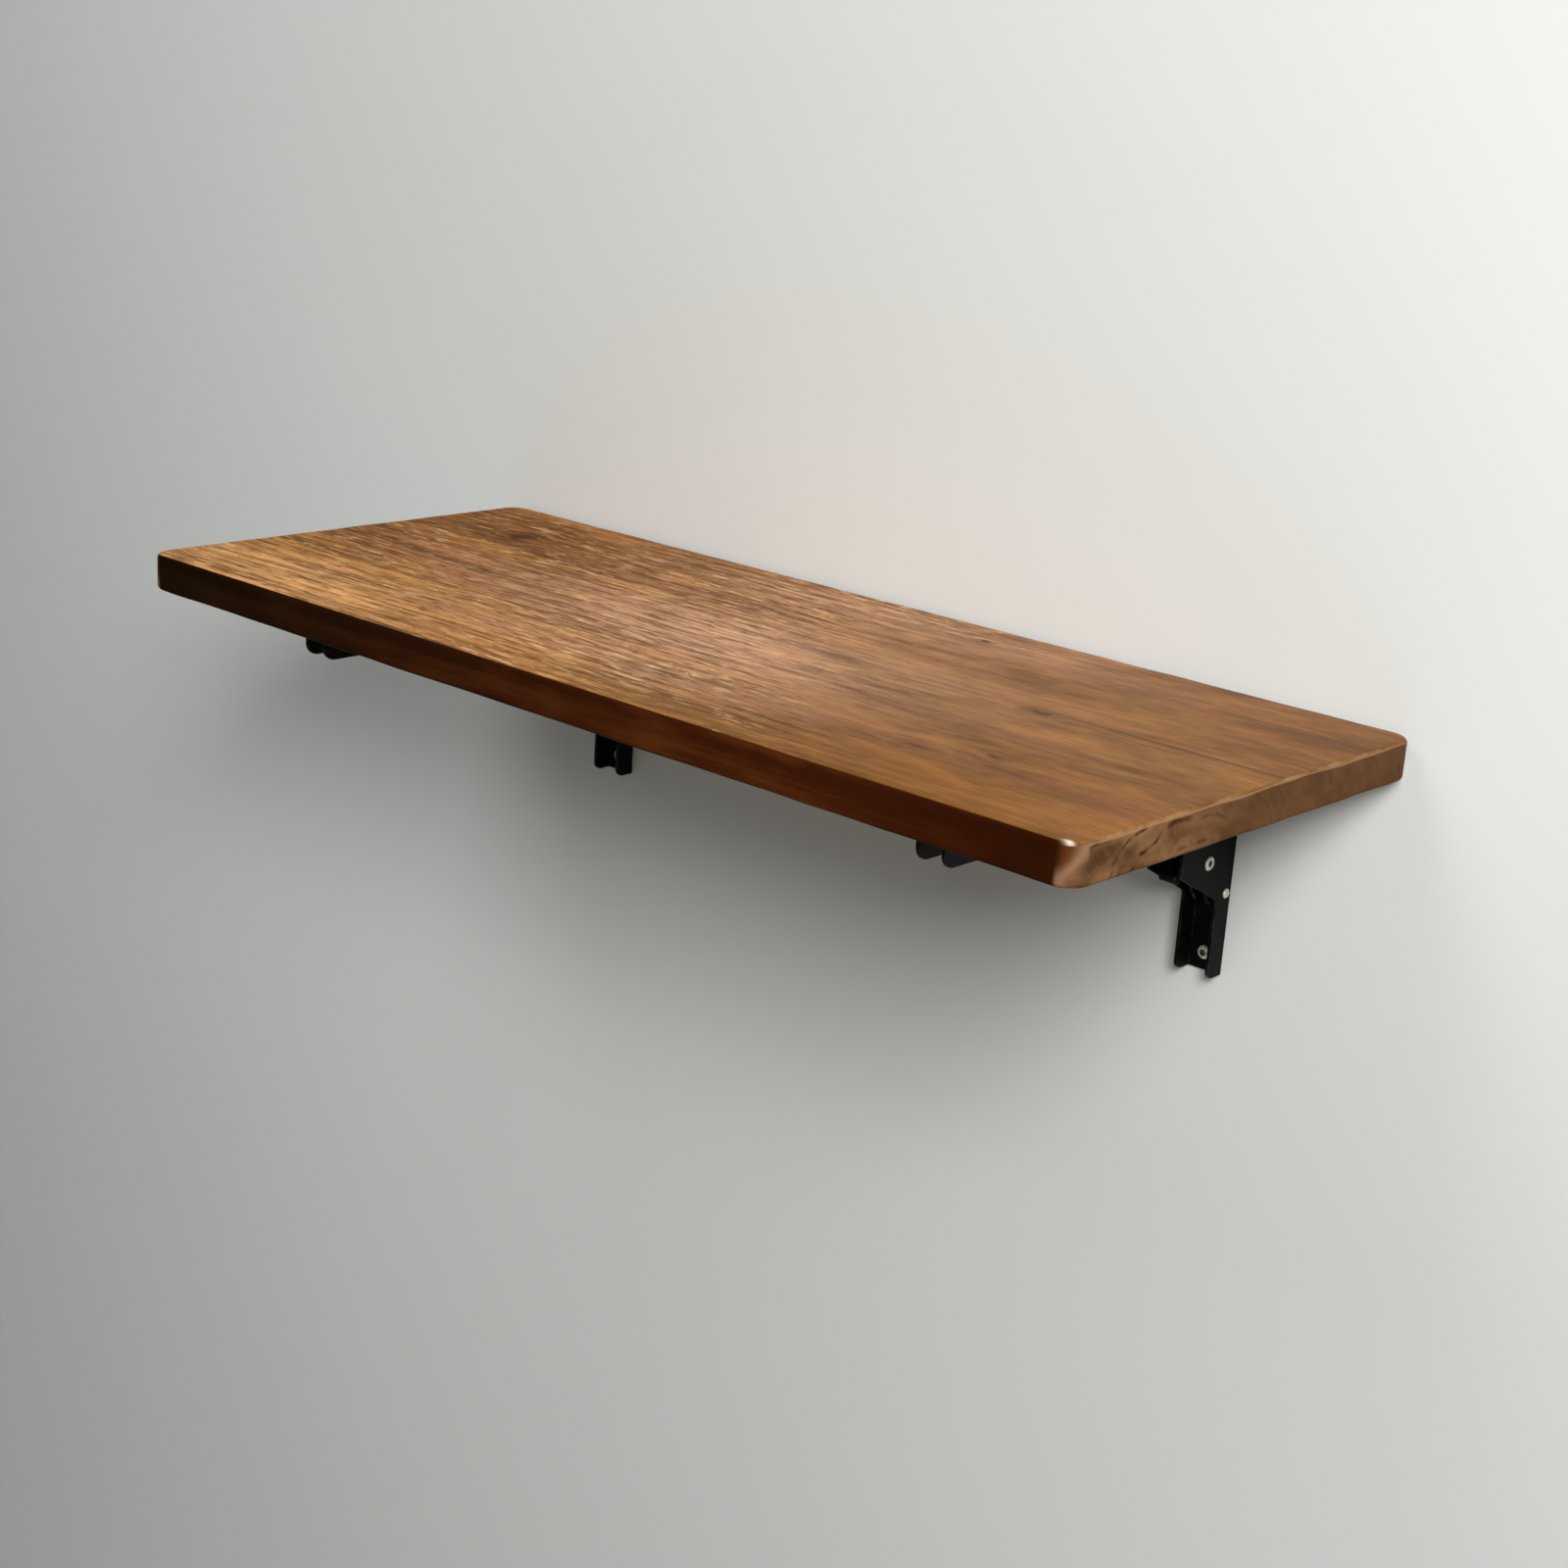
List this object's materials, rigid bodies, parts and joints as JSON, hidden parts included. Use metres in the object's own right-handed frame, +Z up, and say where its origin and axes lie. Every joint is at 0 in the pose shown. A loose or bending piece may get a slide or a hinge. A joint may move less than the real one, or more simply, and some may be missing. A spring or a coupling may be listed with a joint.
{
  "type": "wall mounted drop leaf table",
  "caption": "Rectangular stained wood leaf on folding black steel channel brackets that screw to a wall; the leaf folds down flat against the wall after its release levers are pressed.",
  "frame": {"origin": "middle of the four wall screws, on the wall's surface", "axes": "+X along the wall to the right as seen from the room, +Y into the wall, +Z up"},
  "size_m": [0.8, 0.386, 0.1875],
  "materials": {
    "stained_wood": "stained, satin varnish",
    "black_steel": "black powder coat",
    "zinc": "zinc plated",
    "lever_steel": "black coat, worn edges",
    "spring_steel": "drawn wire"
  },
  "bodies": {
    "wall_frame": {"left_wall_channel": "black_steel", "left_pivot_rivet": "zinc", "left_pivot_washers": "zinc", "left_lever_rivet": "zinc", "left_lever_spacers": "zinc", "left_lever_spring": "spring_steel", "left_stop_pin": "zinc", "left_wall_screws": "zinc", "right_wall_channel": "black_steel", "right_pivot_rivet": "zinc", "right_pivot_washers": "zinc", "right_lever_rivet": "zinc", "right_lever_spacers": "zinc", "right_lever_spring": "spring_steel", "right_stop_pin": "zinc", "right_wall_screws": "zinc"},
    "leaf": {"tabletop": "stained_wood", "left_support_arm": "black_steel", "left_latch_pin": "zinc", "left_arm_screws": "zinc", "right_support_arm": "black_steel", "right_latch_pin": "zinc", "right_arm_screws": "zinc"},
    "left_lever": {"left_release_lever": "lever_steel"},
    "right_lever": {"right_release_lever": "lever_steel"}
  },
  "joints": [
    {"name": "leaf_fold", "type": "hinge", "parent": "wall_frame", "child": "leaf", "pos_m": [0, -0.03, 0.047], "axis": [1, 0, 0], "range_deg": [0, 90]},
    {"name": "left_lever_press", "type": "hinge", "parent": "wall_frame", "child": "left_lever", "pos_m": [-0.272, -0.031, 0.002], "axis": [-1, 0, 0], "range_deg": [0, 12], "stiffness_Nm_per_rad": 0.6, "springref_deg": -17.19, "deforming": ["left_lever_spring"]},
    {"name": "right_lever_press", "type": "hinge", "parent": "wall_frame", "child": "right_lever", "pos_m": [0.272, -0.031, 0.002], "axis": [-1, 0, 0], "range_deg": [0, 12], "stiffness_Nm_per_rad": 0.6, "springref_deg": -17.19, "deforming": ["right_lever_spring"]}
  ]
}
